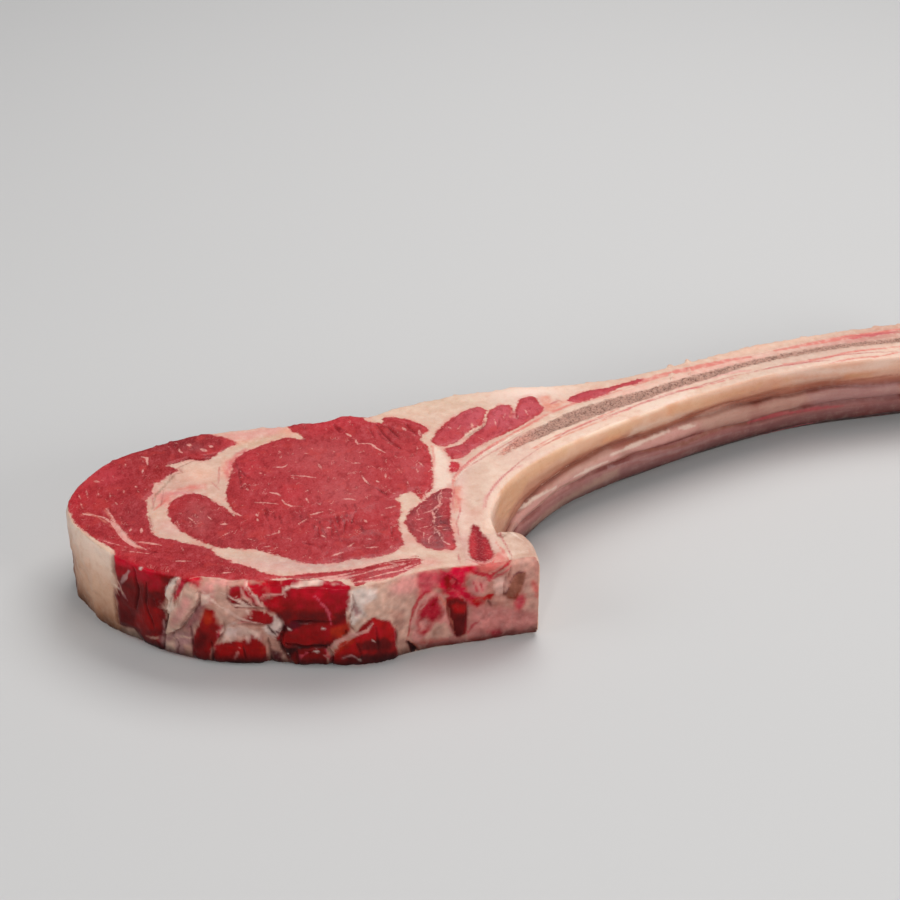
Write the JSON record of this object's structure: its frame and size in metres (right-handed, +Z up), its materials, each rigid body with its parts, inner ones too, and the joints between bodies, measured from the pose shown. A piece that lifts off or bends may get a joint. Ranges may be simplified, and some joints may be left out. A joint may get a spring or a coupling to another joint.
{
  "type": "raw tomahawk steak",
  "caption": "Thick raw beef rib steak with marbled ribeye, cap muscle, seam fat and its whole long curved rib bone, lying on a cut face.",
  "frame": {"origin": "middle of the steak's bounding box, on the surface that the lower cut face lies on", "axes": "+X from the round end of the meat to the sawn end of the rib, +Y from the backbone side to the outer fat, +Z up out of the upper cut face"},
  "size_m": [0.4456, 0.2362, 0.0434],
  "materials": {
    "ribeye_lean": "moist raw lean meat with fine pale marbling",
    "cap_lean": "moist raw lean meat, bright red",
    "dark_lean": "moist raw lean meat, darker",
    "rib_lean": "moist raw lean meat between the ribs",
    "side_lean": "wet dark lean meat",
    "fat": "raw cream fat",
    "outer_fat": "dry outer fat",
    "bone": "sawn raw bone under its skin",
    "marrow": "porous grey-brown marrow",
    "red_marrow": "porous red marrow",
    "rib_flesh": "moist mauve flesh and membrane",
    "cartilage": "sawn cartilage and bone",
    "spine_bone": "sawn spongy bone, blood red"
  },
  "bodies": {
    "root": {"eye_muscle": "ribeye_lean", "cap_muscle": "cap_lean", "inner_muscle": "dark_lean", "upper_rib_muscle": "rib_lean", "lower_rib_muscle": "rib_lean", "strip_muscle": "rib_lean", "blade_muscle": "side_lean", "lower_muscle": "side_lean", "seam_fat": "fat", "outer_fat": "outer_fat", "rib_bone": "bone", "rib_marrow": "marrow", "spongy_core": "red_marrow", "rib_flesh": "rib_flesh", "knob_bone": "cartilage", "spine_bone": "spine_bone"}
  },
  "joints": []
}
